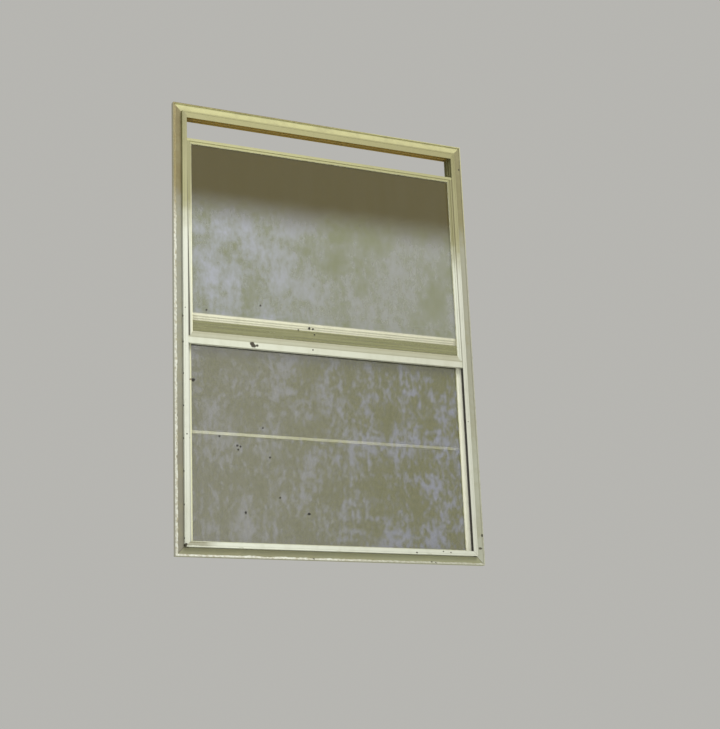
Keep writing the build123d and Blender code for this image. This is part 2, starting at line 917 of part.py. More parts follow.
def screen_spreader():
    """A rolled channel across the screen that keeps its stiles apart."""
    half = screen_depth / 2
    span = sash_half - screen_bar
    y_to = half - mesh_recess - mesh_gap
    y_from = y_to - spreader_depth
    low = spreader_height - spreader_width / 2
    high = spreader_height + spreader_width / 2
    section = strip(y_from, y_from + spreader_wall, low, high)
    section = section + strip(y_from, y_to, low, low + spreader_wall)
    section = section + strip(y_from, y_to, high - spreader_wall, high)
    return one(Pos(0, screen_y, 0) * extruded(section, 2 * span))


def pair(name, right):
    """A left and a right piece that mirror each other."""
    return {name + "_left": one(other_side(right)), name + "_right": one(right)}


def latch_set(name, y, floor, ceiling, depth, wall):
    """The bolts, springs and guides of one sash or screen."""
    parts = {name + "_latch_guides": latch_guides(y, floor, ceiling, depth, wall)}
    parts.update(pair(name + "_latch", latch_bolt(y, floor, depth, wall)))
    parts.update(pair(name + "_spring", latch_spring(y, floor)))
    return parts


def sash_parts(name, panel):
    """What both glazed sashes have, apart from their rails."""
    floor = panel.bottom + sash_wall
    ceiling = panel.bottom + panel.bottom_box - sash_wall
    parts = {
        name + "_glass": glass(panel),
        name + "_gasket": gasket(panel),
        name + "_pile": pile_strips(panel),
        name + "_corner_screws": sash_screws(panel),
    }
    parts.update(pair(name + "_stile", stile(panel)))
    parts.update(latch_set(name, panel.y, floor, ceiling, sash_depth, sash_wall))
    return parts


def all_parts():
    parts = {
        "band_head": band_head(),
        "band_sill": band_sill(),
        "band_gussets": band_gussets(),
        "track_head": track_head(),
        "track_sill": track_sill(),
        "track_corner_keys": corner_keys(),
        "track_corner_rivets": corner_rivets(),
        "track_screws": track_screws(),
        "setting_blocks": setting_blocks(),
        "upper_top_rail": upper_top_rail(),
        "upper_bottom_rail": upper_bottom_rail(),
        "lower_top_rail": lower_top_rail(),
        "lower_bottom_rail": lower_bottom_rail(),
        "lower_lift": lift(),
        "screen_top_rail": screen_top_rail(),
        "screen_bottom_rail": screen_bottom_rail(),
        "screen_spreader": screen_spreader(),
        "screen_mesh": screen_mesh(),
        "screen_spline": screen_spline(),
        "screen_corner_screws": screen_screws(),
    }
    parts.update(pair("band_jamb", band_jamb()))
    parts.update(pair("track_jamb", track_jamb()))
    parts.update(pair("screen_stile", screen_stile()))
    parts.update(sash_parts("upper", upper_sash))
    parts.update(sash_parts("lower", lower_sash))
    floor = sash_bottom + screen_wall
    ceiling = sash_bottom + screen_tube - screen_wall
    parts.update(latch_set("screen", screen_y, floor, ceiling, screen_depth, screen_wall))
    return parts


os.makedirs("parts", exist_ok=True)
for name, shape in all_parts().items():
    export_step(shape, f"parts/{name}.step")
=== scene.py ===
"""Looks of the aluminium sash window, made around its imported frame. Sizes are in metres."""
import math

import bmesh
import bpy
from mathutils import Matrix, Vector, noise


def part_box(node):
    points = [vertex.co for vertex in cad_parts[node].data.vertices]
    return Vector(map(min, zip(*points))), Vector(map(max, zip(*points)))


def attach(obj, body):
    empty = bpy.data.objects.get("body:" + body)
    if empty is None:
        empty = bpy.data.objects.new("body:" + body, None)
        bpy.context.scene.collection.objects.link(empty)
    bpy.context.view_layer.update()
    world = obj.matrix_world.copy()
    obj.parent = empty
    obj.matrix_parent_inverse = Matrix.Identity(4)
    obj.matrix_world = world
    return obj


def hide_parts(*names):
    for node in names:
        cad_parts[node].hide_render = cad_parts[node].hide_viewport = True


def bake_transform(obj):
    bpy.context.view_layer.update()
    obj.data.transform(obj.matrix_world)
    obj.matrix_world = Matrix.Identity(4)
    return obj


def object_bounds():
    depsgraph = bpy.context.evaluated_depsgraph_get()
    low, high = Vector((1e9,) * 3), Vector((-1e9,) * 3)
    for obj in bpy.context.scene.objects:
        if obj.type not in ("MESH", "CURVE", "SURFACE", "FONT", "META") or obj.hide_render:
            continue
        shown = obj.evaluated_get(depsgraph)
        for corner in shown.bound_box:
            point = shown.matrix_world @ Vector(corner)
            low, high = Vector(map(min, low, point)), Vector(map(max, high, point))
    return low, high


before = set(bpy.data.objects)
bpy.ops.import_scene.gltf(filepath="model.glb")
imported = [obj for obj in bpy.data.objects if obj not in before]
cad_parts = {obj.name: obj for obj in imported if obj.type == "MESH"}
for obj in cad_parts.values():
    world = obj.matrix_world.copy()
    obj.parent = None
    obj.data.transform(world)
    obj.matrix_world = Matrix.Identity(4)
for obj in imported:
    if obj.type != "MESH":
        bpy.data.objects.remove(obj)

cad_box = [list(corner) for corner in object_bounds()]

# The photograph's camera, found by laying the window's own edges on those in the picture
camera_place = Vector((-1.7475, -3.8487, -0.6214))
camera_turn = math.radians(25.669)
camera_rise = math.radians(15.789)
camera_roll = math.radians(-2.300)
focal_length_pixels = 1504.8
picture_height_pixels = 729
sensor_size = 36.0

# Places on the window that the finishes need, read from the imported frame
window_half = cad_box[1][0]
window_height = cad_box[1][2]
window_middle = window_height / 2
band_edge_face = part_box("band_sill")[0][1]
upper_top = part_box("upper_top_rail")[1][2]
track_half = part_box("track_head")[1][0]
track_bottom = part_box("track_sill")[0][2]
track_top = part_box("track_head")[1][2]
track_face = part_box("track_sill")[0][1]
track_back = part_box("track_sill")[1][1]

# Places in the track's section, from the width of its lips and its wall
lip_width = 0.0135
track_wall = 0.0015
lip_edge = track_half - lip_width
first_lip_back = track_face + track_wall
last_lip_front = track_back - track_wall
web_face = track_half - track_wall

# Floor, backdrop and light
floor_level = -1.15
floor_radius = 25.0
floor_dark = (0.755, 0.745, 0.69, 1.0)
floor_light = (0.785, 0.775, 0.72, 1.0)
backdrop_tone = (0.47, 0.465, 0.44, 1.0)
sky_light = (0.95, 0.97, 1.0, 1.0)
sky_strength = 0.62


# Shader maths
class Value:
    """A node's output that can be used in sums as a number is, each sum adding its Math node."""

    def __init__(self, shading, socket):
        self.shading = shading
        self.socket = socket

    def __add__(self, other):
        return self.shading.maths("ADD", self, other)

    def __radd__(self, other):
        return self.shading.maths("ADD", other, self)

    def __sub__(self, other):
        return self.shading.maths("SUBTRACT", self, other)

    def __rsub__(self, other):
        return self.shading.maths("SUBTRACT", other, self)

    def __mul__(self, other):
        return self.shading.maths("MULTIPLY", self, other)

    def __rmul__(self, other):
        return self.shading.maths("MULTIPLY", other, self)

    def __abs__(self):
        return self.shading.maths("ABSOLUTE", self)

    def lesser(self, other):
        return self.shading.maths("MINIMUM", self, other)

    def greater(self, other):
        return self.shading.maths("MAXIMUM", self, other)


class Shading:
    """A tree of nodes, and the ways to add nodes to it."""

    def __init__(self, tree):
        self.tree = tree

    def node(self, kind, inputs=None, output=0, **settings):
        """A new node: its settings first, then the values or links of its inputs."""
        made = self.tree.nodes.new(kind)
        for name, value in settings.items():
            setattr(made, name, value)
        for name, value in (inputs or {}).items():
            self.feed(made.inputs[name], value)
        return Value(self, made.outputs[output])

    def feed(self, socket, value):
        if isinstance(value, Value):
            self.tree.links.new(value.socket, socket)
        else:
            socket.default_value = value

    def maths(self, operation, *values):
        return self.node("ShaderNodeMath", dict(enumerate(values)), operation=operation)


# How much of a line, a fleck or a spot is dark all through, and how ragged a spot is
line_core = 0.4
fleck_core = 0.4
fleck_cut = 0.9
spot_core = 0.45
spot_grain = 0.8
spot_raggedness = 1.6


class Finish(Shading):
    """A material with one Principled shader, and short ways to make the patterns that feed it."""

    def __init__(self, name, **sockets):
        self.material = bpy.data.materials.new(name)
        self.material.use_nodes = True
        super().__init__(self.material.node_tree)
        self.shader = self.tree.nodes["Principled BSDF"]
        for socket, value in sockets.items():
            self.shade(socket.replace("_", " "), value)
        self.place = self.node("ShaderNodeTexCoord", output="Object")
        self.x, self.y, self.z = (
            self.node("ShaderNodeSeparateXYZ", {0: self.place}, output=axis) for axis in range(3)
        )

    def shade(self, socket, value):
        self.feed(self.shader.inputs[socket], value)

    def mix(self, factor, low, high):
        """A colour between two colours."""
        return self.node("ShaderNodeMix", {0: factor, 6: low, 7: high}, output=2, data_type="RGBA")

    def rise(self, value, low, high):
        """A smooth step from 0 at low to 1 at high, or down from 1 to 0 where low is the greater."""
        inputs = {"Value": value, "From Min": low, "From Max": high}
        return self.node("ShaderNodeMapRange", inputs, interpolation_type="SMOOTHSTEP")

    def noise(self, scale, detail=3.0, stretch=(1, 1, 1), roughness=0.55):
        """Cloudy noise, drawn out along an axis whose stretch factor is small."""
        place = self.node("ShaderNodeMapping", {"Vector": self.place, "Scale": stretch})
        inputs = {"Vector": place, "Scale": scale, "Detail": detail, "Roughness": roughness}
        return self.node("ShaderNodeTexNoise", inputs)

    def flecks(self, pitch, size, share):
        """Small spots, of which a share of the cells of the given pitch have one."""
        cell = {"Vector": self.place, "Scale": 1 / pitch}
        distance = self.node("ShaderNodeTexVoronoi", cell)
        colour = self.node("ShaderNodeTexVoronoi", cell, output="Color")
        chance = self.node("ShaderNodeSeparateColor", {0: colour})
        reach = size / pitch
        return self.rise(distance, reach, reach * fleck_core) * self.rise(chance, share, share * fleck_cut)

    def hollows(self, reach):
        """1 deep in corners and grooves, 0 on open faces."""
        open_share = self.node("ShaderNodeAmbientOcclusion", {"Distance": reach}, output="AO", samples=6)
        return 1 - open_share

    def bump(self, height, depth):
        """Sets the relief from a height between 0 and 1 that stands for the given depth."""
        self.shade("Normal", self.node("ShaderNodeBump", {"Height": height, "Distance": depth}))

    def blot(self, x, z, wide, tall):
        """1 in a ragged spot of the given half width and half height, and 0 outside it."""
        across = (self.x - x) * (1 / wide)
        up = (self.z - z) * (1 / tall)
        ragged = self.noise(spot_grain / min(wide, tall), detail=2.0)
        return self.rise(across * across + up * up + spot_raggedness * (ragged - 0.5), 1.0, spot_core)

    def blots(self, spots):
        """1 in any of several spots, each of which is given by its x and z and its half sizes."""
        found = 0.0
        for x, z, wide, tall in spots:
            found = self.blot(x, z, wide, tall).greater(found)
        return found

    def mitre(self, half, low, high, width):
        """1 on the four lines that run in at 45 degrees from the corners of a rectangle."""
        from_side = half - abs(self.x)
        from_end = (self.z - low).lesser(high - self.z)
        return self.rise(abs(from_side - from_end), width, width * line_core)


# Dirt, and colours that also paint shade and shadow where marked below
grime_and_shade = (0.17, 0.14, 0.085, 1.0)
# Mud also paints a shadow line beside the upper sash's left lip
mud = (0.045, 0.038, 0.02, 1.0)
olive_dirt_and_shade = (0.30, 0.28, 0.15, 1.0)
channel_shade = (0.085, 0.075, 0.065, 1.0)
corner_dirt = (0.20, 0.18, 0.09, 1.0)
mitre_dirt = (0.10, 0.085, 0.05, 1.0)
spatter_brown = (0.20, 0.13, 0.06, 1.0)
speck_brown = (0.02, 0.016, 0.01, 1.0)
rust_brown = (0.22, 0.12, 0.04, 1.0)

# White enamel, and the cream it turns towards the head, which is painted shade over the top of the window
sash_white = (0.66, 0.68, 0.55, 1.0)
sash_shade_cream = (0.43, 0.42, 0.20, 1.0)
stile_white = (0.76, 0.79, 0.665, 1.0)
stile_shade_cream = (0.29, 0.28, 0.13, 1.0)
# These three brighter whites are painted light on parts behind the glass or beside the lips
far_stile_white = (0.93, 0.94, 0.78, 1.0)
lower_rail_white = (0.93, 0.93, 0.76, 1.0)
spreader_white = (0.96, 0.96, 0.77, 1.0)
track_white = (0.685, 0.705, 0.595, 1.0)
track_shade_cream = (0.345, 0.335, 0.165, 1.0)
track_brown = (0.25, 0.235, 0.10, 1.0)
sill_white = (0.73, 0.755, 0.63, 1.0)
head_shade_cream = (0.33, 0.315, 0.135, 1.0)

# Each pair of places or distances below says where a mask is 0 and where it is 1
top_shade_rise = (0.90, 1.05)
top_shade_wander = 0.08
top_shade_lean = 0.025
far_side = (-0.3, 0.44)
hollow_reach = 0.005
enamel_grain = 0.00008


class Enamel(Finish):
    """White enamel with painted shade, cream towards the head and darker to the right, with rain marks,
    specks, and painted shade with some dirt in its corners.
    """

    def __init__(self, name, white, cream):
        super().__init__(name)
        self.mottle = self.noise(26.0)
        far = self.rise(self.x, *far_side)
        # The cream towards the head is painted shade over the top of the window
        top_shade = self.rise(self.z + top_shade_wander * (self.mottle - 0.5) + top_shade_lean * far, *top_shade_rise)
        rain_marks = self.rise(self.noise(5.0, detail=2.0, stretch=(6, 6, 1)), 0.5, 0.7)
        self.colour = self.mix(top_shade, white, cream)
        # Darker towards the right: painted shade
        self.mix_in(0.20 * far, grime_and_shade)
        self.mix_in(0.10 * rain_marks, olive_dirt_and_shade)
        self.mix_in(0.10 * self.rise(self.mottle, 0.5, 0.75), olive_dirt_and_shade)

    def mix_in(self, share, colour):
        self.colour = self.mix(share, self.colour, colour)

    def finish_off(self, corner_shade_share=0.28):
        """Adds what lies on top of everything else, and the relief."""
        # Painted shade, with some dirt, in corners and grooves
        dirt = self.rise(self.hollows(hollow_reach) + 0.25 * (self.mottle - 0.5), 0.45, 0.95)
        self.mix_in(corner_shade_share * dirt, grime_and_shade)
        self.mix_in(0.8 * self.flecks(pitch=0.024, size=0.0011, share=0.14), mud)
        self.shade("Base Color", self.colour)
        self.shade("Roughness", 0.42 + 0.2 * self.mottle)
        self.bump(0.6 * self.noise(900.0, detail=2.0) + 0.4 * self.mottle, enamel_grain)
        return self.material


# Sashes
top_edge_dirt = (upper_top - 0.0065, upper_top - 0.0010)


def sash_enamel():
    """The enamel of most rails and stiles, with dirt along the upper sash's top edge."""
    finish = Enamel("sash_enamel", sash_white, sash_shade_cream)
    finish.mix_in(0.2 * finish.rise(finish.z, *top_edge_dirt), olive_dirt_and_shade)
    return finish.finish_off()


rail_step = 0.6165
rail_above = (rail_step, rail_step + 0.0012)
rail_step_line = (0.0016, 0.0006)
rail_top_shade = (0.6255, 0.6290)
rail_marks = [
    (-0.2450, 0.6120, 0.0085, 0.0075),
    (-0.2420, 0.6055, 0.0085, 0.0070),
    (-0.2310, 0.6075, 0.0050, 0.0045),
    (-0.0573, 0.6102, 0.0028, 0.0026),
]


def meeting_rail_enamel():
    """Painted shade above the rail's step and a painted shadow line along the step, with spots of mud under
    it.
    """
    finish = Enamel("meeting_rail_enamel", sash_white, sash_shade_cream)
    # Darker above the step and along it: painted shade
    finish.mix_in(0.46 * finish.rise(finish.z, *rail_above), olive_dirt_and_shade)
    finish.mix_in(0.30 * finish.rise(finish.z, *rail_top_shade), olive_dirt_and_shade)
    finish.mix_in(0.35 * finish.rise(abs(finish.z - rail_step), *rail_step_line), olive_dirt_and_shade)
    finish.mix_in(finish.blots(rail_marks), mud)
    return finish.finish_off()


gap_lap = 0.0012
gap_width = 0.0050
gap_growth = (1.20, 0.60)
gap_fade = (1.20, 1.05)
gap_edge = (0.0006, -0.0006)
upper_bead = (-0.4262, -0.4250)
upper_bead_dulls = (0.78, 0.88)
upper_bead_fades = (1.15, 0.95)
upper_bead_cream = (0.84, 0.83, 0.60, 1.0)


def upper_stile_enamel():
    """The left stile of the upper sash, with a painted shadow line that widens downwards beside the lip."""
    finish = Enamel("upper_stile_enamel", sash_white, stile_shade_cream)
    # A painted shadow in the gap beside the lip, widest low down
    width = finish.rise(finish.z, *gap_growth) * gap_width
    line = finish.rise(finish.x + lip_edge - gap_lap - width, *gap_edge)
    finish.mix_in(0.92 * line * finish.rise(finish.z, *gap_fade), mud)
    bead = finish.rise(finish.x, *upper_bead) * (0.75 - 0.35 * finish.rise(finish.z, *upper_bead_dulls))
    finish.mix_in(bead * finish.rise(finish.z, *upper_bead_fades), upper_bead_cream)
    return finish.finish_off()


right_gap = (lip_edge - 0.0022, lip_edge - 0.0012)


def right_stile_enamel():
    """The right stile of the upper sash, with a thin painted shadow line beside the lip."""
    finish = Enamel("right_stile_enamel", stile_white, stile_shade_cream)
    # Painted shadow beside the lip
    finish.mix_in(0.6 * finish.rise(finish.x, *right_gap), grime_and_shade)
    return finish.finish_off()


lower_gap = (-0.4270, -0.4286)
lip_shadow_grey = (0.25, 0.25, 0.21, 1.0)
lower_bead = (-0.4266, -0.4254)
lower_bead_yellow = (0.90, 0.90, 0.58, 1.0)
stile_marks = [(-0.4245, 0.4974, 0.0040, 0.0032), (-0.4290, 0.3300, 0.0016, 0.0016)]


def lower_stile_enamel():
    """The left stile of the lower sash, grey with painted shadow beside the lip, and yellowed beside the
    glass.
    """
    finish = Enamel("lower_stile_enamel", track_white, sash_shade_cream)
    # Painted shadow of the lip
    finish.mix_in(0.35 * finish.rise(finish.x, *lower_gap), lip_shadow_grey)
    finish.mix_in(0.75 * finish.rise(finish.x, *lower_bead), lower_bead_yellow)
    finish.mix_in(0.85 * finish.blots(stile_marks), spatter_brown)
    return finish.finish_off()


# Track
past_first_lip = (first_lip_back + 0.0001, first_lip_back + 0.0006)
short_of_last_lip = (last_lip_front + 0.0002, last_lip_front - 0.0003)
past_lip_edge = (lip_edge + 0.0006, lip_edge + 0.0014)
short_of_web = (web_face + 0.0005, web_face + 0.0002)
channel_fade = (1.12, 0.95)
low_corners = (0.10, 0.08)
right_corner = (0.40, 0.42)
track_mitre_width = 0.0012
corner_marks = [(-0.4482, 0.0295, 0.0044, 0.0052), (-0.4455, 0.0325, 0.0024, 0.0024)]


class TrackEnamel(Enamel):
    """Enamel of the track's members, with painted shade inside its channels, and dark along its low right
    mitre.
    """

    def __init__(self, name, white, cream):
        super().__init__(name, white, cream)
        self.behind_lip = self.rise(self.y, *past_first_lip)
        inside = self.behind_lip * self.rise(self.y, *short_of_last_lip)
        across = abs(self.x)
        sides = self.rise(across, *past_lip_edge) * self.rise(across, *short_of_web)
        # Painted shade inside the open channels, fading out towards the head
        self.mix_in(0.95 * inside * sides * self.rise(self.z, *channel_fade), channel_shade)
        mitres = self.mitre(track_half, track_bottom, track_top, track_mitre_width)
        low_mitres = mitres * self.rise(self.z, *low_corners)
        self.mix_in(0.55 * low_mitres * self.rise(self.x, *right_corner), grime_and_shade)


jamb_brown_rise = (1.10, 1.30)
jamb_low = (0.25, 0.12)
jamb_left = (0.0, -0.1)
jamb_marks = [
    (-0.4430, 0.3360, 0.0026, 0.0022),
    (-0.4455, 0.7000, 0.0018, 0.0018),
    (0.4430, 0.4300, 0.0018, 0.0018),
]


def jamb_enamel():
    """The track's jambs, brown towards the head, olive low on the left, and spotted with mud."""
    finish = TrackEnamel("jamb_enamel", track_white, track_shade_cream)
    finish.mix_in(0.9 * finish.rise(finish.z, *jamb_brown_rise), track_brown)
    finish.mix_in(0.12 * finish.rise(finish.z, *jamb_low) * finish.rise(finish.x, *jamb_left), olive_dirt_and_shade)
    finish.mix_in(finish.blots(corner_marks + jamb_marks), mud)
    return finish.finish_off()


head_channel = (track_top - 0.0010, track_top - 0.0013)
head_channel_brown = (0.46, 0.32, 0.07, 1.0)


def head_enamel():
    """The track's head, browned in its channels."""
    finish = TrackEnamel("head_enamel", track_white, head_shade_cream)
    inside = finish.behind_lip * finish.rise(finish.z, *head_channel)
    finish.mix_in(0.80 * inside, head_channel_brown)
    return finish.finish_off()


sill_left_end = (-0.350, -0.400)
sill_wander = 0.03
sill_ledge = (0.0275, 0.0305)
sill_upper_edge = (0.0355, 0.0380)
sill_ragged = 0.006
sill_marks = [
    (0.2483, 0.0297, 0.0031, 0.0025),
    (0.3350, 0.0352, 0.0025, 0.0021),
    (0.3595, 0.0330, 0.0025, 0.0021),
]


def sill_enamel():
    """The track's sill, with dirt at its left end that deepens upwards in two ragged steps."""
    finish = TrackEnamel("sill_enamel", sill_white, sash_shade_cream)
    corner = finish.rise(finish.x + sill_wander * (finish.mottle - 0.5), *sill_left_end)
    level = finish.z + sill_ragged * (finish.noise(160.0) - 0.5)
    depth = 0.15 + 0.50 * finish.rise(level, *sill_ledge) + 0.25 * finish.rise(level, *sill_upper_edge)
    finish.mix_in(corner * depth, corner_dirt)
    finish.mix_in(finish.blots(sill_marks + corner_marks), mud)
    return finish.finish_off()


# Band
# The band's colours carry painted shade: the left jamb and the sill darker where the track's lips shade them
band_head_left = (0.525, 0.51, 0.245, 1.0)
band_head_right = (0.64, 0.625, 0.305, 1.0)
band_jamb_left = (0.29, 0.29, 0.225, 1.0)
band_jamb_right = (0.41, 0.42, 0.325, 1.0)
band_sill_left = (0.345, 0.365, 0.215, 1.0)
band_sill_right = (0.30, 0.305, 0.18, 1.0)
band_shade_brown_left = (0.185, 0.15, 0.055, 1.0)
band_shade_brown_right = (0.235, 0.215, 0.10, 1.0)
band_edge_cream = (0.60, 0.59, 0.46, 1.0)
band_wander = 0.12
band_rightness = (-0.3, 0.4)
band_height = (0.25, 0.60)
band_shade_rise = (0.97, 1.09)
band_edge = (0.0045, 0.0020)
band_mitre_width = 0.0016
band_hollow_reach = 0.006
band_grain = 0.0001
band_marks = [
    (0.4720, 0.0879, 0.0030, 0.0050),
    (0.4640, 0.0496, 0.0070, 0.0040),
    (0.4690, 1.2536, 0.0030, 0.0040),
]


def band_enamel(name, left, right, spot_share, top_shade_share=0.0):
    """Dull enamel of a member of the band, with a colour for its left end and one for its right."""
    finish = Finish(name)
    mottle = finish.noise(30.0, detail=4.0)
    wander = band_wander * (mottle - 0.5)
    rightness = finish.rise(finish.x + wander, *band_rightness)
    height = finish.rise(finish.z + wander, *band_height)
    colour = finish.mix(rightness, left, right)
    colour = finish.mix(0.30 * height * rightness + 0.46 * (1 - height) * (1 - rightness), colour, grime_and_shade)
    brown = finish.mix(rightness, band_shade_brown_left, band_shade_brown_right)
    # Brown towards the head: painted shade over the top of the window
    colour = finish.mix(top_shade_share * finish.rise(finish.z + wander, *band_shade_rise), colour, brown)
    colour = finish.mix(0.35 * finish.rise(mottle, 0.42, 0.72), colour, olive_dirt_and_shade)
    mitres = finish.mitre(window_half, 0.0, window_height, band_mitre_width)
    low_mitres = mitres * finish.rise(finish.z, *low_corners)
    colour = finish.mix(0.8 * low_mitres, colour, mitre_dirt)
    # Painted shade in corners and grooves
    colour = finish.mix(0.25 * finish.rise(finish.hollows(band_hollow_reach), 0.4, 0.95), colour, grime_and_shade)
    colour = finish.mix(0.35 * finish.rise(window_half - abs(finish.x), *band_edge), colour, band_edge_cream)
    spots = finish.flecks(pitch=0.014, size=0.0016, share=spot_share)
    colour = finish.mix(0.75 * spots, colour, rust_brown)
    colour = finish.mix(0.9 * finish.blots(band_marks), colour, mud)
    finish.shade("Base Color", colour)
    finish.shade("Roughness", 0.5 + 0.2 * mottle)
    finish.bump(0.5 * finish.noise(700.0, detail=2.0) + 0.5 * mottle, band_grain)
    return finish.material


# Sealant
sealant_pale = (0.74, 0.75, 0.66, 1.0)
sealant_dull = (0.46, 0.43, 0.30, 1.0)
sealant_grey = (0.30, 0.30, 0.20, 1.0)
sealant_shade_left = (0.29, 0.235, 0.09, 1.0)
sealant_shade_right = (0.60, 0.58, 0.30, 1.0)
sealant_rightness = (-0.1, 0.25)
sealant_shade_rise = (0.90, 1.10)
sealant_grain = 0.0005
sealant_marks = [
    (0.2994, 0.0060, 0.0039, 0.0028),
    (0.3122, 0.0031, 0.0034, 0.0025),
    (-0.0720, 0.0040, 0.0042, 0.0028),
]


def sealant():
    """Old crust, greyer to the right, and with painted shade towards the head, brown on the left and cream
    on the right.
    """
    finish = Finish("old_sealant")
    mottle = finish.noise(110.0, detail=4.0)
    rightness = finish.rise(finish.x, *sealant_rightness)
    shaded_tone = finish.mix(rightness, sealant_shade_left, sealant_shade_right)
    colour = finish.mix(finish.rise(mottle, 0.38, 0.72), sealant_pale, sealant_dull)
    colour = finish.mix(0.5 * rightness, colour, sealant_grey)
    # Painted shade towards the head
    colour = finish.mix(0.9 * finish.rise(finish.z, *sealant_shade_rise), colour, shaded_tone)
    colour = finish.mix(0.75 * finish.flecks(pitch=0.007, size=0.0013, share=0.25), colour, grime_and_shade)
    colour = finish.mix(0.9 * finish.blots(sealant_marks), colour, mud)
    finish.shade("Base Color", colour)
    finish.shade("Roughness", 0.7 + 0.2 * mottle)
    finish.bump(finish.noise(400.0, detail=4.0), sealant_grain)
    return finish.material


# Glass
class Pane(Finish):
    """Glass with a film of dust, painted reflection and painted shade of the room behind, clear to the light
    that falls through it.
    """

    def __init__(self, name):
        super().__init__(name, IOR=1.52, Specular_IOR_Level=0.7, Coat_Weight=1.0, Coat_Roughness=0.02)
        self.cloud = self.noise(10.0, detail=6.0, stretch=(1, 1, 0.75), roughness=0.62)
        self.fine = self.noise(70.0, detail=4.0, stretch=(1, 1, 0.6), roughness=0.6)

    def finish_off(self, colour, film, specks):
        """Adds specks, and lets the film and the specks hide what is behind them."""
        spots = self.flecks(pitch=0.055, size=0.0018, share=0.22).greater(self.blots(specks))
        unshaded = 1 - self.node("ShaderNodeLightPath", output="Is Shadow Ray")
        self.shade("Base Color", self.mix(spots, colour, speck_brown))
        self.shade("Alpha", film.greater(spots) * unshaded)
        self.shade("Roughness", 0.03 + 0.04 * film)
        return self.material


upper_top_brown = (0.068, 0.052, 0.0, 1.0)
upper_olive = (0.19, 0.205, 0.10, 1.0)
upper_grey = (0.29, 0.30, 0.28, 1.0)
upper_blue = (0.37, 0.39, 0.44, 1.0)
upper_clear_pale = (0.58, 0.57, 0.40, 1.0)
upper_strip_dark = (0.16, 0.16, 0.06, 1.0)
upper_strip_light = (0.33, 0.33, 0.165, 1.0)
upper_edge_brown = (0.06, 0.055, 0.03, 1.0)
upper_wander = 0.06
upper_pale_from = (1.08, 0.95)
upper_blue_side = (0.15, -0.35)
upper_thick = (0.716, 0.704)
upper_thin = (0.692, 0.689)
upper_strip = (0.671, 0.666)
upper_edge_line = (0.6372, 0.6352)
upper_specks = [
    (-0.0642, 0.6762, 0.0045, 0.0042),
    (-0.0531, 0.6757, 0.0035, 0.0032),
    (-0.0991, 0.6683, 0.0032, 0.0029),
    (-0.2158, 0.7310, 0.0032, 0.0032),
    (-0.3801, 0.7007, 0.0035, 0.0029),
    (-0.0672, 0.6319, 0.0035, 0.0032),
    (-0.0490, 0.6579, 0.0029, 0.0029),
]


def upper_pane():
    """A film that is dark and brown at the top as painted reflection of the eave above and painted shade of
    the room, pale lower down as painted reflection of the sky, and thin just above its lowest strip.
    """
    finish = Pane("upper_pane")
    runs = finish.noise(7.0, stretch=(10, 10, 0.7))
    lines = finish.noise(14.0, detail=2.0, stretch=(0.3, 1, 16))
    # Pale lower down: painted reflection of the sky
    pale = finish.rise(finish.z + upper_wander * (finish.cloud - 0.5), *upper_pale_from)
    thick = finish.rise(finish.z, *upper_thick)
    thin = finish.rise(finish.z, *upper_thin)
    strip = finish.rise(finish.z, *upper_strip)
    edge_line = finish.rise(finish.z, *upper_edge_line)
    blotch = finish.rise(finish.cloud * 0.72 + finish.fine * 0.28, 0.34, 0.66)
    blotch_light = finish.mix(finish.rise(finish.x, *upper_blue_side), upper_grey, upper_blue)
    colour = finish.mix(pale, upper_top_brown, finish.mix(blotch, upper_olive, blotch_light))
    colour = finish.mix(thin, colour, upper_clear_pale)
    colour = finish.mix(strip, colour, finish.mix(lines, upper_strip_dark, upper_strip_light))
    colour = finish.mix(edge_line, colour, upper_edge_brown)
    film = 0.78 - 0.14 * pale + 0.10 * (runs - 0.5) + 0.14 * thick - 0.60 * thin + 0.52 * strip
    film = film + 0.24 * strip * (lines - 0.5) + 0.25 * edge_line
    return finish.finish_off(colour, film, upper_specks)


lower_olive = (0.125, 0.125, 0.0, 1.0)
lower_grey = (0.28, 0.285, 0.27, 1.0)
lower_blue = (0.25, 0.265, 0.33, 1.0)
rail_shadow_brown = (0.055, 0.048, 0.035, 1.0)
lower_rightness = (-0.3, 0.35)
rail_shadow_bottom = (0.5972, 0.5995)
rail_shadow_top = (0.614, 0.606)
lower_specks = [
    (-0.4175, 0.4974, 0.0076, 0.0051),
    (-0.2101, 0.3727, 0.0034, 0.0031),
    (-0.2877, 0.3174, 0.0034, 0.0037),
    (-0.2779, 0.3151, 0.0034, 0.0031),
    (-0.2849, 0.3061, 0.0031, 0.0031),
    (-0.1904, 0.2887, 0.0034, 0.0031),
    (-0.3406, 0.3412, 0.0031, 0.0034),
    (-0.1626, 0.1752, 0.0030, 0.0030),
    (-0.2660, 0.1285, 0.0034, 0.0052),
    (-0.0756, 0.1326, 0.0062, 0.0040),
]


def lower_pane():
    """A thinner film of dust and painted reflection, olive with paler blotches, thicker to the right, and a
    painted shadow line of the meeting rail near the top.
    """
    finish = Pane("lower_pane")
    rightness = finish.rise(finish.x, *lower_rightness)
    # A painted shadow of the meeting rail on the glass
    rail_shadow_line = finish.rise(finish.z, *rail_shadow_bottom) * finish.rise(finish.z, *rail_shadow_top)
    blotch = finish.rise(finish.cloud * 0.5 + finish.fine * 0.5, 0.46, 0.60)
    colour = finish.mix(blotch, lower_olive, finish.mix(rightness, lower_grey, lower_blue))
    colour = finish.mix(rail_shadow_line, colour, rail_shadow_brown)
    film = 0.27 + 0.14 * rightness + 0.30 * (finish.fine - 0.5) + 0.55 * rail_shadow_line
    return finish.finish_off(colour, film, lower_specks)


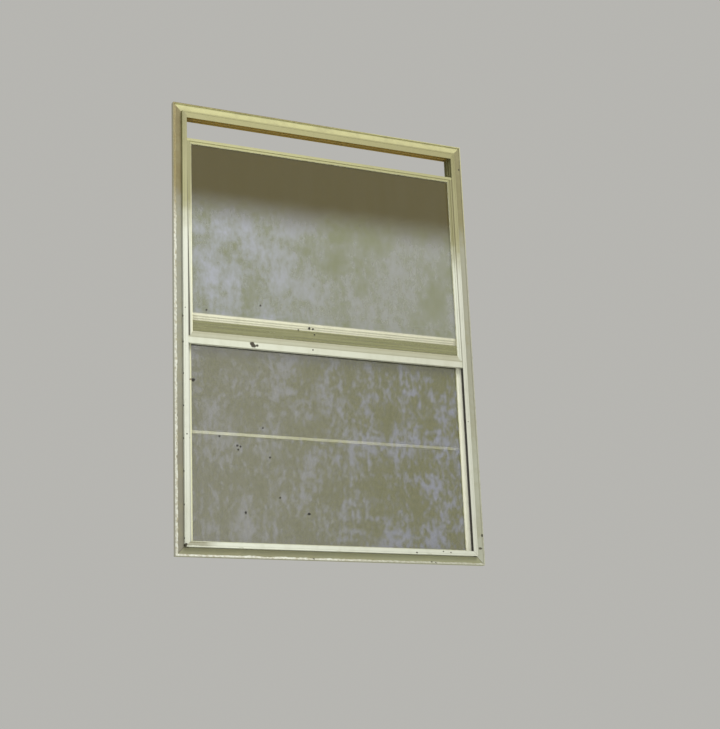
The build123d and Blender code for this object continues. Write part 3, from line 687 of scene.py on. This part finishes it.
# Rubber, pile and metal
lower_vinyl = (0.82, 0.82, 0.58, 1.0)
upper_vinyl = (0.82, 0.82, 0.60, 1.0)
vinyl_dark = (0.50, 0.47, 0.28, 1.0)
spline_black = (0.05, 0.05, 0.05, 1.0)
spline_dark = (0.02, 0.02, 0.02, 1.0)
packer_black = (0.03, 0.03, 0.03, 1.0)
packer_dusty = (0.06, 0.06, 0.055, 1.0)
nylon_black = (0.03, 0.03, 0.03, 1.0)
nylon_worn = (0.05, 0.05, 0.05, 1.0)
pile_grey = (0.25, 0.25, 0.24, 1.0)
pile_dark = (0.08, 0.08, 0.08, 1.0)
thread_grey = (0.060, 0.062, 0.050, 1.0)
thread_dark = (0.030, 0.030, 0.026, 1.0)
zinc_bright = (0.55, 0.55, 0.52, 1.0)
zinc_dull = (0.28, 0.26, 0.22, 1.0)
wire_bright = (0.5, 0.5, 0.5, 1.0)
wire_dull = (0.3, 0.3, 0.3, 1.0)
mill_bright = (0.62, 0.62, 0.62, 1.0)
mill_dull = (0.42, 0.42, 0.41, 1.0)
upper_vinyl_dirt_top = 0.63
dirt_edge = 0.002
no_dirt = -1.0
vinyl_grain = 0.0001
hair_depth = 0.0004
metal_grain = 0.00004


def rubbery(name, colour, dark, roughness, dark_below=no_dirt):
    """Mottled rubber or plastic, muddy below a height where one is given."""
    finish = Finish(name)
    mottle = finish.noise(90.0, detail=4.0)
    shade = finish.mix(finish.rise(mottle, 0.3, 0.75), colour, dark)
    shade = finish.mix(0.85 * finish.rise(finish.z, dark_below, dark_below - dirt_edge), shade, mud)
    finish.shade("Base Color", shade)
    finish.shade("Roughness", roughness + 0.15 * mottle)
    finish.bump(finish.noise(500.0), vinyl_grain)
    return finish.material


def fibrous(name, colour, dark):
    """Pile or coated thread, with fine upright hairs."""
    finish = Finish(name, Sheen_Weight=0.3)
    hairs = finish.noise(1500.0, stretch=(1, 1, 0.3))
    finish.shade("Base Color", finish.mix(hairs, dark, colour))
    finish.shade("Roughness", 0.9 + 0.05 * hairs)
    finish.bump(hairs, hair_depth)
    return finish.material


def metal(name, colour, dark, roughness):
    """Plated or bare metal, duller in patches."""
    finish = Finish(name, Metallic=1.0)
    mottle = finish.noise(150.0, detail=4.0)
    finish.shade("Base Color", finish.mix(finish.rise(mottle, 0.4, 0.8), colour, dark))
    finish.shade("Roughness", roughness + 0.2 * mottle)
    finish.bump(finish.noise(800.0, detail=2.0, stretch=(1, 1, 6)), metal_grain)
    return finish.material


def clean_enamel(name, white):
    """Sash enamel without the painted shade in its corners."""
    return Enamel(name, white, sash_shade_cream).finish_off(corner_shade_share=0.0)


# Which finish each piece has
finishes = {
    "band_head": band_enamel("band_head_enamel", band_head_left, band_head_right, spot_share=0.16),
    "band_jamb": band_enamel(
        "band_jamb_enamel", band_jamb_left, band_jamb_right, spot_share=0.12, top_shade_share=1.0,
    ),
    "band_sill": band_enamel("band_sill_enamel", band_sill_left, band_sill_right, spot_share=0.12),
    "jamb": jamb_enamel(),
    "head": head_enamel(),
    "sill": sill_enamel(),
    "sash": sash_enamel(),
    "spreader": clean_enamel("spreader_enamel", spreader_white),
    "lower_top_rail": clean_enamel("lower_rail_enamel", lower_rail_white),
    "meeting_rail": meeting_rail_enamel(),
    "upper_stile": upper_stile_enamel(),
    "right_stile": right_stile_enamel(),
    "lower_stile": lower_stile_enamel(),
    "far_stile": clean_enamel("far_stile_enamel", far_stile_white),
    "upper_glass": upper_pane(),
    "lower_glass": lower_pane(),
    "vinyl": rubbery("glazing_vinyl", lower_vinyl, vinyl_dark, roughness=0.5),
    "upper_vinyl": rubbery(
        "upper_glazing_vinyl", upper_vinyl, vinyl_dark, roughness=0.5, dark_below=upper_vinyl_dirt_top,
    ),
    "spline": rubbery("spline_vinyl", spline_black, spline_dark, roughness=0.6),
    "packer": rubbery("packer_rubber", packer_black, packer_dusty, roughness=0.7),
    "nylon": rubbery("black_nylon", nylon_black, nylon_worn, roughness=0.45),
    "pile": fibrous("grey_pile", pile_grey, pile_dark),
    "mesh": fibrous("fibreglass_mesh", thread_grey, thread_dark),
    "zinc": metal("zinc_plate", zinc_bright, zinc_dull, roughness=0.35),
    "wire": metal("spring_wire", wire_bright, wire_dull, roughness=0.25),
    "mill": metal("mill_aluminium", mill_bright, mill_dull, roughness=0.4),
}

node_finishes = {
    "band_gussets": "mill",
    "band_head": "band_head",
    "band_sill": "band_sill",
    "band_jamb": "band_jamb",
    "track_corner_keys": "mill",
    "track_corner_rivets": "zinc",
    "track_screws": "zinc",
    "track_jamb": "jamb",
    "track_head": "head",
    "track_sill": "sill",
    "setting_blocks": "packer",
    "upper_glass": "upper_glass",
    "lower_glass": "lower_glass",
    "upper_gasket": "upper_vinyl",
    "lower_gasket": "vinyl",
    "screen_spreader": "spreader",
    "lower_top_rail": "lower_top_rail",
    "pile": "pile",
    "screws": "zinc",
    "spring": "wire",
    "latch": "nylon",
    "screen_mesh": "mesh",
    "screen_spline": "spline",
    "upper_bottom_rail": "meeting_rail",
    "upper_stile_left": "upper_stile",
    "upper_stile_right": "right_stile",
    "lower_stile_left": "lower_stile",
    "lower_stile_right": "far_stile",
}


def finish_for(node):
    """The finish of a node, from the first entry whose words are in its name, or else the sash enamel."""
    for words, finish in node_finishes.items():
        if words in node:
            return finishes[finish]
    return finishes["sash"]


for name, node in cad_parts.items():
    for slot in node.material_slots:
        slot.material = finish_for(name)


# Ways to make a new piece
def finished_piece(name, shape, material):
    """Makes a scene object of a bmesh."""
    mesh = bpy.data.meshes.new(name)
    shape.to_mesh(mesh)
    shape.free()
    mesh.materials.append(material)
    piece = bpy.data.objects.new(name, mesh)
    bpy.context.collection.objects.link(piece)
    return piece


def join_in(shape, part):
    """Adds one bmesh to another and frees it."""
    held = bpy.data.meshes.new("held")
    part.to_mesh(held)
    shape.from_mesh(held)
    bpy.data.meshes.remove(held)
    part.free()


def add_bar(shape, low, high):
    """Adds a thin closed bar between two corners."""
    size = [top - bottom for bottom, top in zip(low, high)]
    middle = [(top + bottom) / 2 for bottom, top in zip(low, high)]
    bar = Matrix.Translation(middle) @ Matrix.Diagonal((*size, 1.0))
    bmesh.ops.create_cube(shape, size=1.0, matrix=bar)


# Insect mesh
thread_pitch = 0.0014
thread_width = 0.00028
mesh_sheet = 0.0004
mesh_hem = 0.0034


def insect_mesh():
    """Upright threads in front of level ones, with a hem that goes down into the spline's groove."""
    (left, floor_y, bottom), (right, top_y, top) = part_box("screen_mesh")
    floor_top = floor_y + mesh_sheet
    face_y = top_y - mesh_sheet
    middle_y = top_y - mesh_sheet / 2
    inner_left = left + mesh_hem - mesh_sheet
    inner_right = right - mesh_hem + mesh_sheet
    inner_bottom = bottom + mesh_hem - mesh_sheet
    inner_top = top - mesh_hem + mesh_sheet
    shape = bmesh.new()
    for number in range(1, int((inner_right - inner_left) / thread_pitch)):
        x = inner_left + number * thread_pitch
        add_bar(shape, (x, face_y, inner_bottom), (x + thread_width, middle_y, inner_top))
    for number in range(1, int((inner_top - inner_bottom) / thread_pitch)):
        z = inner_bottom + number * thread_pitch
        add_bar(shape, (inner_left, middle_y, z), (inner_right, top_y, z + thread_width))
    for low_x, high_x in ((left, inner_left), (inner_right, right)):
        add_bar(shape, (low_x, floor_y, bottom), (high_x, floor_top, top))
    for low_z, high_z in ((bottom, inner_bottom), (inner_top, top)):
        add_bar(shape, (inner_left, floor_y, low_z), (inner_right, floor_top, high_z))
    for x in (inner_left, inner_right - mesh_sheet):
        add_bar(shape, (x, floor_top, inner_bottom), (x + mesh_sheet, face_y, inner_top))
    for z in (inner_bottom, inner_top - mesh_sheet):
        low = (inner_left + mesh_sheet, floor_top, z)
        high = (inner_right - mesh_sheet, face_y, z + mesh_sheet)
        add_bar(shape, low, high)
    piece = finished_piece("insect_mesh", shape, finishes["mesh"])
    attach(piece, "screen")
    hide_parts("screen_mesh")


insect_mesh()


# Latch springs
spring_turns = 6
turn_steps = 24
wire_radius = 0.0003
wire_sides = 8


def latch_spring(node):
    """A coil of round wire in the node's place, of the spring that its bolt presses; the coil keeps one
    shape.
    """
    low, high = (Vector(corner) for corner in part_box(node))
    middle = (low + high) / 2
    steps = spring_turns * turn_steps
    step = (high.x - low.x - 2 * wire_radius) / steps
    shape = bmesh.new()
    wire_end = Matrix.Translation((low.x + wire_radius, middle.y, high.z - wire_radius))
    bmesh.ops.create_circle(shape, segments=wire_sides, radius=wire_radius, matrix=wire_end)
    bmesh.ops.spin(
        shape, geom=shape.verts[:] + shape.edges[:], cent=middle, axis=(1, 0, 0),
        dvec=(step, 0, 0), angle=math.radians(360) * spring_turns, steps=steps,
    )
    ends = [edge for edge in shape.edges if edge.is_boundary]
    bmesh.ops.holes_fill(shape, edges=ends, sides=wire_sides)
    bmesh.ops.recalc_face_normals(shape, faces=shape.faces)
    piece = finished_piece(node + "_coil", shape, finishes["wire"])
    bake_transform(piece)
    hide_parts(node)


for sash in ("upper", "lower", "screen"):
    for side in ("left", "right"):
        latch_spring(f"{sash}_spring_{side}")


# Traces of sealant on the band's edge
trace_step = 0.0035
trace_rows = 7
trace_laps = {"head": 0.0022, "right": 0.0014, "sill": 0.0062, "left": 0.0080}
rib_width = 0.0030
rib_rise = 0.0030
rib_slope = 0.0012
crust_height = 0.0010
crust_swell = 0.0005
crust_grain = 0.0006
crust_least = 0.00015
crust_edge = 0.0001
crust_sink = 0.0004

# The crust's three noises: their scales and seeds, and how far two of them move its inner edge
side_gap = 7.0
ragged_scale = 110
ragged_seed = 11
ragged_share = 0.24
coarse_scale = 21
coarse_seed = 16
coarse_share = 0.32
grain_scale = 300
grain_seed = 20
grain_rows = 9


def crust_place(place, side, length, edge, lap):
    """Where a point of a plain unit strip goes on one side of the band."""
    along = place.x * length
    share = 0.5 - place.z
    row = side * side_gap
    ragged = noise.noise(Vector((along * ragged_scale, row, ragged_seed)))
    coarse = noise.noise(Vector((along * coarse_scale, row, coarse_seed)))
    grain = noise.noise(Vector((along * grain_scale, row + share * grain_rows, grain_seed)))
    inward = crust_edge + share * lap * (1 + coarse_share * coarse + ragged_share * ragged)
    over_rib = min(max((inward - rib_width) / rib_slope, 0.0), 1.0)
    level = band_edge_face + over_rib * rib_rise
    thickness = crust_height + crust_swell * ragged + crust_grain * grain
    crown = (1 - share) ** 0.5 * thickness + crust_least
    if share in (0.0, 1.0):
        crown = crust_edge
    depth = level - crown if place.y < 0 else level + crust_sink
    return Vector((along * (1 - inward * 2 / length), depth, edge - inward))


def edges_along(strip, axis):
    """The edges of a unit strip that run its whole size along one axis."""
    return [line for line in strip.edges if abs(line.verts[0].co[axis] - line.verts[1].co[axis]) > 0.5]


def trace_strip(side, length, edge, lap):
    """One ragged length of crust that covers the edge rib and thins out over the band's face."""
    strip = bmesh.new()
    bmesh.ops.create_cube(strip, size=1.0)
    bmesh.ops.subdivide_edges(strip, edges=edges_along(strip, 0), cuts=int(length / trace_step))
    bmesh.ops.subdivide_edges(strip, edges=edges_along(strip, 2), cuts=trace_rows - 1)
    for vert in strip.verts:
        vert.co = crust_place(vert.co, side, length, edge, lap)
    return strip


def sealant_trace():
    """A thin ragged crust on the band's edge, all round."""
    shape = bmesh.new()
    centre = Vector((0, 0, window_middle))
    for side, name in enumerate(("head", "right", "sill", "left")):
        level = side % 2 == 0
        length = (window_half if level else window_middle) * 2
        edge = window_middle if level else window_half
        strip = trace_strip(side, length, edge, trace_laps[name])
        turn = Matrix.Rotation(math.radians(90) * side, 4, "Y")
        bmesh.ops.transform(strip, matrix=Matrix.Translation(centre) @ turn, verts=strip.verts)
        join_in(shape, strip)
    bmesh.ops.recalc_face_normals(shape, faces=shape.faces)
    piece = finished_piece("sealant_trace", shape, sealant())
    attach(piece, "frame")


sealant_trace()


# Camera, floor and light
def photo_camera():
    """A camera at the photograph's place, with its own turn, rise and roll."""
    data = bpy.data.cameras.new("photo_camera")
    data.sensor_width = sensor_size
    data.lens = sensor_size * focal_length_pixels / picture_height_pixels
    camera = bpy.data.objects.new("photo_camera", data)
    ahead = Vector((
        math.sin(camera_turn) * math.cos(camera_rise),
        math.cos(camera_turn) * math.cos(camera_rise),
        math.sin(camera_rise),
    ))
    level = ahead.cross(Vector((0, 0, 1))).normalized()
    above = level.cross(ahead)
    right = level * math.cos(camera_roll) + above * math.sin(camera_roll)
    up = above * math.cos(camera_roll) - level * math.sin(camera_roll)
    axes = Matrix((right, up, -ahead)).transposed().to_4x4()
    camera.matrix_world = Matrix.Translation(camera_place) @ axes
    bpy.context.collection.objects.link(camera)
    bpy.context.scene.camera = camera


def soft_lamp(name, place, size, share, colour):
    """A square lamp aimed at the window, which lights a face turned to it to a share of full white."""
    target = Vector((0, 0, window_middle))
    offset = Vector(place) - target
    data = bpy.data.lights.new(name, "AREA")
    data.size = size
    data.energy = share * math.pi ** 2 * offset.length_squared
    data.color = colour
    lamp = bpy.data.objects.new(name, data)
    lamp.matrix_world = Matrix.Translation(place) @ offset.to_track_quat("Z", "Y").to_matrix().to_4x4()
    bpy.context.collection.objects.link(lamp)


def pale_world():
    """Soft light from all round, and a plain backdrop where the camera or the glass shows the world."""
    world = bpy.data.worlds.new("studio")
    world.use_nodes = True
    shading = Shading(world.node_tree)
    sky = shading.tree.nodes["Background"]
    shading.feed(sky.inputs["Color"], sky_light)
    shading.feed(sky.inputs["Strength"], sky_strength)
    backdrop = shading.node("ShaderNodeBackground", {"Color": backdrop_tone})
    camera, glossy, through = (
        shading.node("ShaderNodeLightPath", output=f"Is {ray} Ray")
        for ray in ("Camera", "Glossy", "Transmission")
    )
    seen = camera.greater(glossy).greater(through)
    light = Value(shading, sky.outputs[0])
    mixed = shading.node("ShaderNodeMixShader", {0: seen, 1: light, 2: backdrop})
    shading.feed(shading.tree.nodes["World Output"].inputs["Surface"], mixed)
    bpy.context.scene.world = world


def floor():
    """A wide pale floor below the window."""
    shape = bmesh.new()
    bmesh.ops.create_circle(shape, cap_ends=True, segments=96, radius=floor_radius)
    bmesh.ops.translate(shape, vec=(0, 0, floor_level), verts=shape.verts)
    mesh = bpy.data.meshes.new("floor")
    shape.to_mesh(mesh)
    shape.free()
    finish = Finish("pale_floor", Roughness=0.8)
    finish.shade("Base Color", finish.mix(finish.noise(2.0, detail=4.0), floor_dark, floor_light))
    mesh.materials.append(finish.material)
    piece = bpy.data.objects.new("floor", mesh)
    bpy.context.collection.objects.link(piece)


photo_camera()
soft_lamp("key", place=(0.5, -3.3, 4.4), size=2.4, share=0.70, colour=(1.0, 0.98, 0.94))
soft_lamp("fill", place=(-3.6, -3.0, 0.8), size=2.4, share=0.16, colour=(0.95, 0.97, 1.0))
soft_lamp("room_side", place=(1.5, 4.0, 2.6), size=2.6, share=0.35, colour=(1.0, 0.99, 0.96))
pale_world()
floor()
bpy.context.scene.view_settings.view_transform = "Standard"
